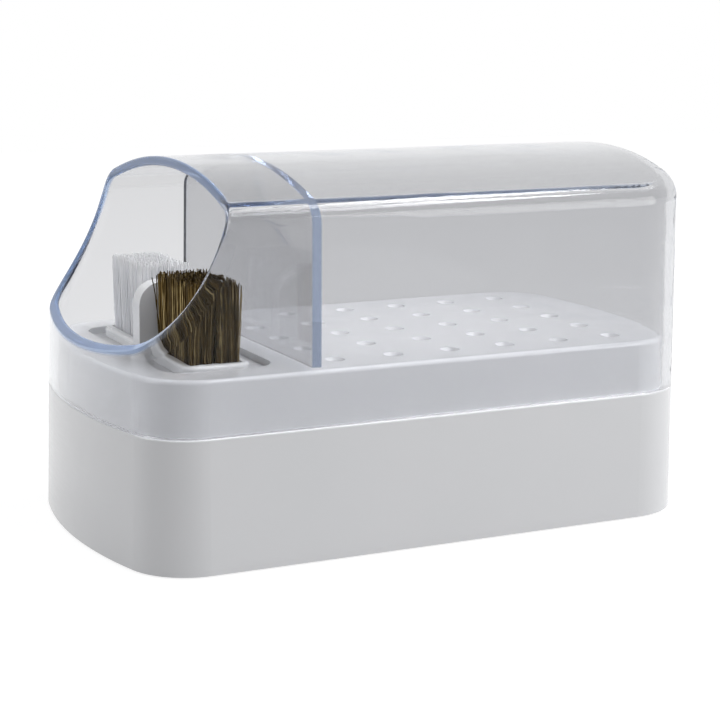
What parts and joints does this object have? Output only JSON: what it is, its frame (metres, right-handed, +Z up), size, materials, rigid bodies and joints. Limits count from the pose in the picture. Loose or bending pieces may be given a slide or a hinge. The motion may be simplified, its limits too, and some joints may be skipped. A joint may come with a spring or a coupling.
{
  "type": "nail drill bit case",
  "caption": "Desktop drill bit stand with a raised deck of bit holes, a copper and a nylon cleaning brush, and a clear lift-off cover with a scooped front and a divider.",
  "frame": {"origin": "on the table under the middle of the case", "axes": "+X along the case away from the brush end, +Y across it towards the nylon brush, +Z up"},
  "size_m": [0.14, 0.077, 0.0814],
  "materials": {
    "white_plastic": "glossy moulded white plastic",
    "clear_plastic": "clear, faintly blue at its edges",
    "copper_wire": "drawn copper alloy wire",
    "nylon": "clear to white filament",
    "zinc_steel": "zinc plated"
  },
  "bodies": {
    "base": {"housing": "white_plastic", "bottom_plate": "white_plastic", "plate_screws": "zinc_steel"},
    "cover": {"clear_cover": "clear_plastic"},
    "copper_brush": {"copper_brush_block": "white_plastic", "copper_bristles": "copper_wire", "copper_anchors": "zinc_steel"},
    "nylon_brush": {"nylon_brush_block": "white_plastic", "nylon_bristles": "nylon", "nylon_anchors": "zinc_steel"}
  },
  "joints": [
    {"name": "cover_lift", "type": "slide", "parent": "base", "child": "cover", "axis": [0, 0, 1], "range_m": [0, 0.06]},
    {"name": "copper_brush_lift", "type": "slide", "parent": "base", "child": "copper_brush", "axis": [0, 0, 1], "range_m": [0, 0.014]},
    {"name": "nylon_brush_lift", "type": "slide", "parent": "base", "child": "nylon_brush", "axis": [0, 0, 1], "range_m": [0, 0.014]}
  ]
}
